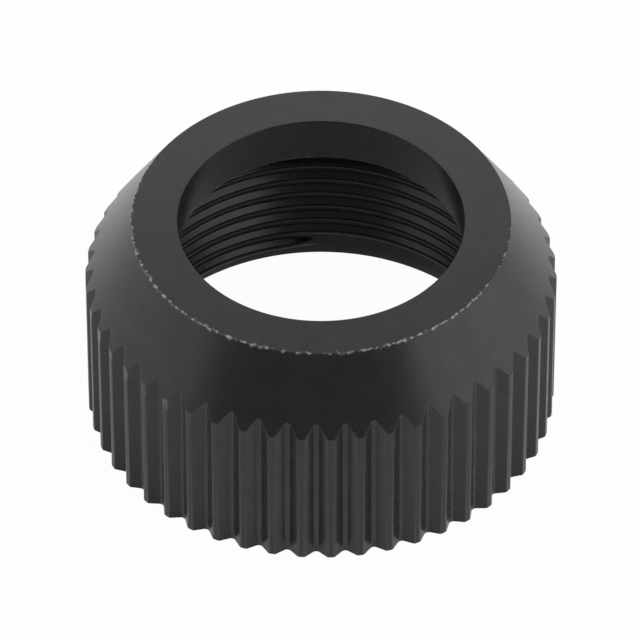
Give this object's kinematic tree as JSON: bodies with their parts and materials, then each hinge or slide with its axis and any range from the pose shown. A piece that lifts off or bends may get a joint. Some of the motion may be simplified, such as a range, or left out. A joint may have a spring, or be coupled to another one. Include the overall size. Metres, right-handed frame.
{
  "type": "knurled thumb nut",
  "caption": "Round thumb nut with a straight-knurled grip and a coned top. A fine right-hand thread enters from below and ends under a plain lip. Black anodised aluminium.",
  "frame": {"origin": "centre of the open, threaded end's flat face, on the nut's axis; the nut stands on this face", "axes": "+Z along the nut's axis, from the threaded end to the lip; +X through the middle of a knurl crest"},
  "size_m": [0.019, 0.019, 0.0097],
  "materials": {
    "anodised_body": "black anodised, satin"
  },
  "bodies": {
    "root": {"knurled_nut": "anodised_body"}
  },
  "joints": []
}
